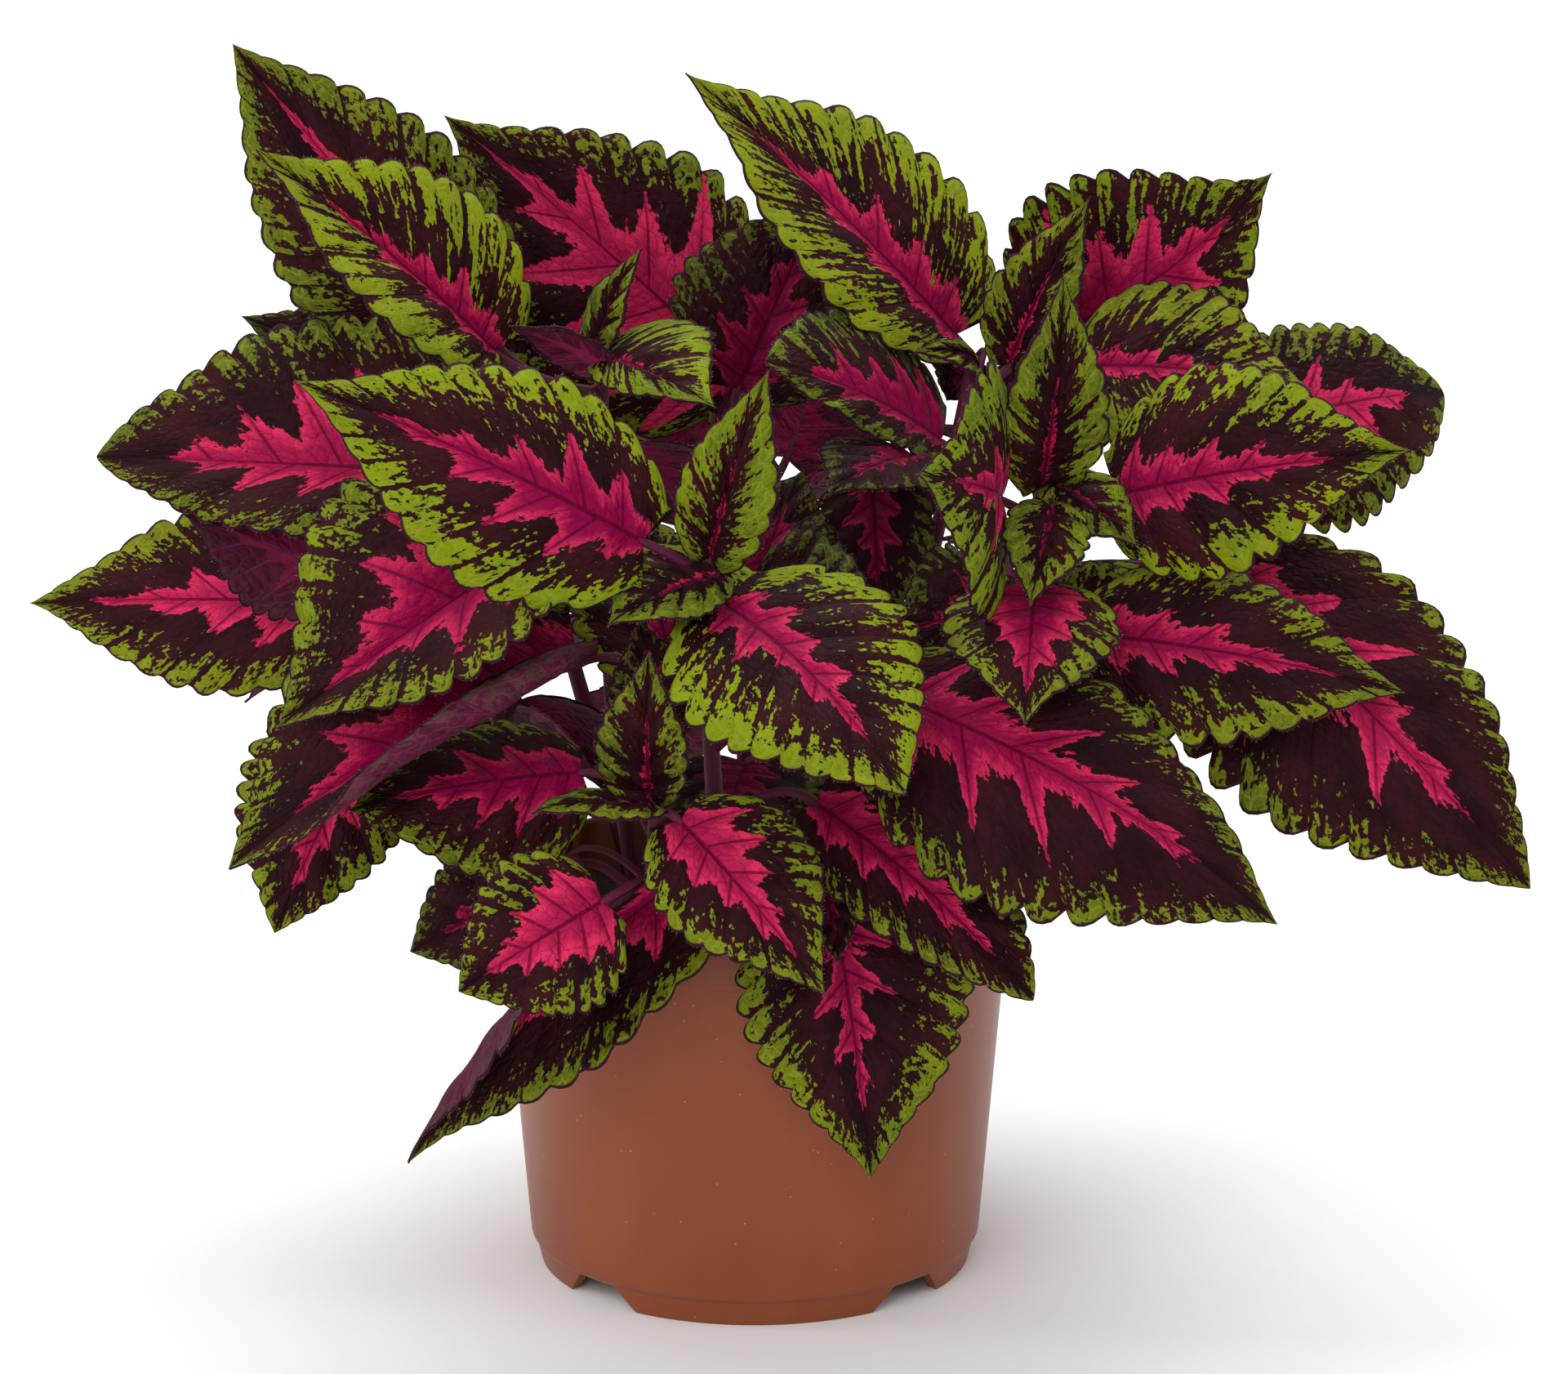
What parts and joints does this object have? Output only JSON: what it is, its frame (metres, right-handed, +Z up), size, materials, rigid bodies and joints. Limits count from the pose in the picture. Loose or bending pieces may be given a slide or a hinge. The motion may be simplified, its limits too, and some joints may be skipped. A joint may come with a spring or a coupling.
{
  "type": "potted coleus plant",
  "caption": "Bushy coleus with scalloped pink, maroon and green leaves, in a tapered round plastic pot on short feet.",
  "frame": {"origin": "on the ground, on the axis of the pot, which is the middle of the plant's whole width and depth", "axes": "+Z up, +X to the right of the plant's front, the front faces -Y"},
  "size_m": [0.3693, 0.2318, 0.3011],
  "materials": {
    "pot": "satin moulded plastic, terracotta brown, faint scuffs",
    "soil": "dark, dry, crumbly potting mix",
    "foliage": "soft-sheened leaves, pink centre, maroon round it, yellow-green towards a purple edge; mauve-purple square stems"
  },
  "bodies": {
    "root": {"pot": "pot", "soil": "soil", "shoot_front": "foliage", "shoot_right": "foliage", "shoot_low": "foliage", "shoot_left_rear": "foliage", "shoot_right_rear": "foliage", "shoot_left": "foliage", "shoot_right_low": "foliage", "shoot_rear": "foliage", "shoot_rear_left": "foliage", "shoot_rear_right": "foliage"}
  },
  "joints": []
}
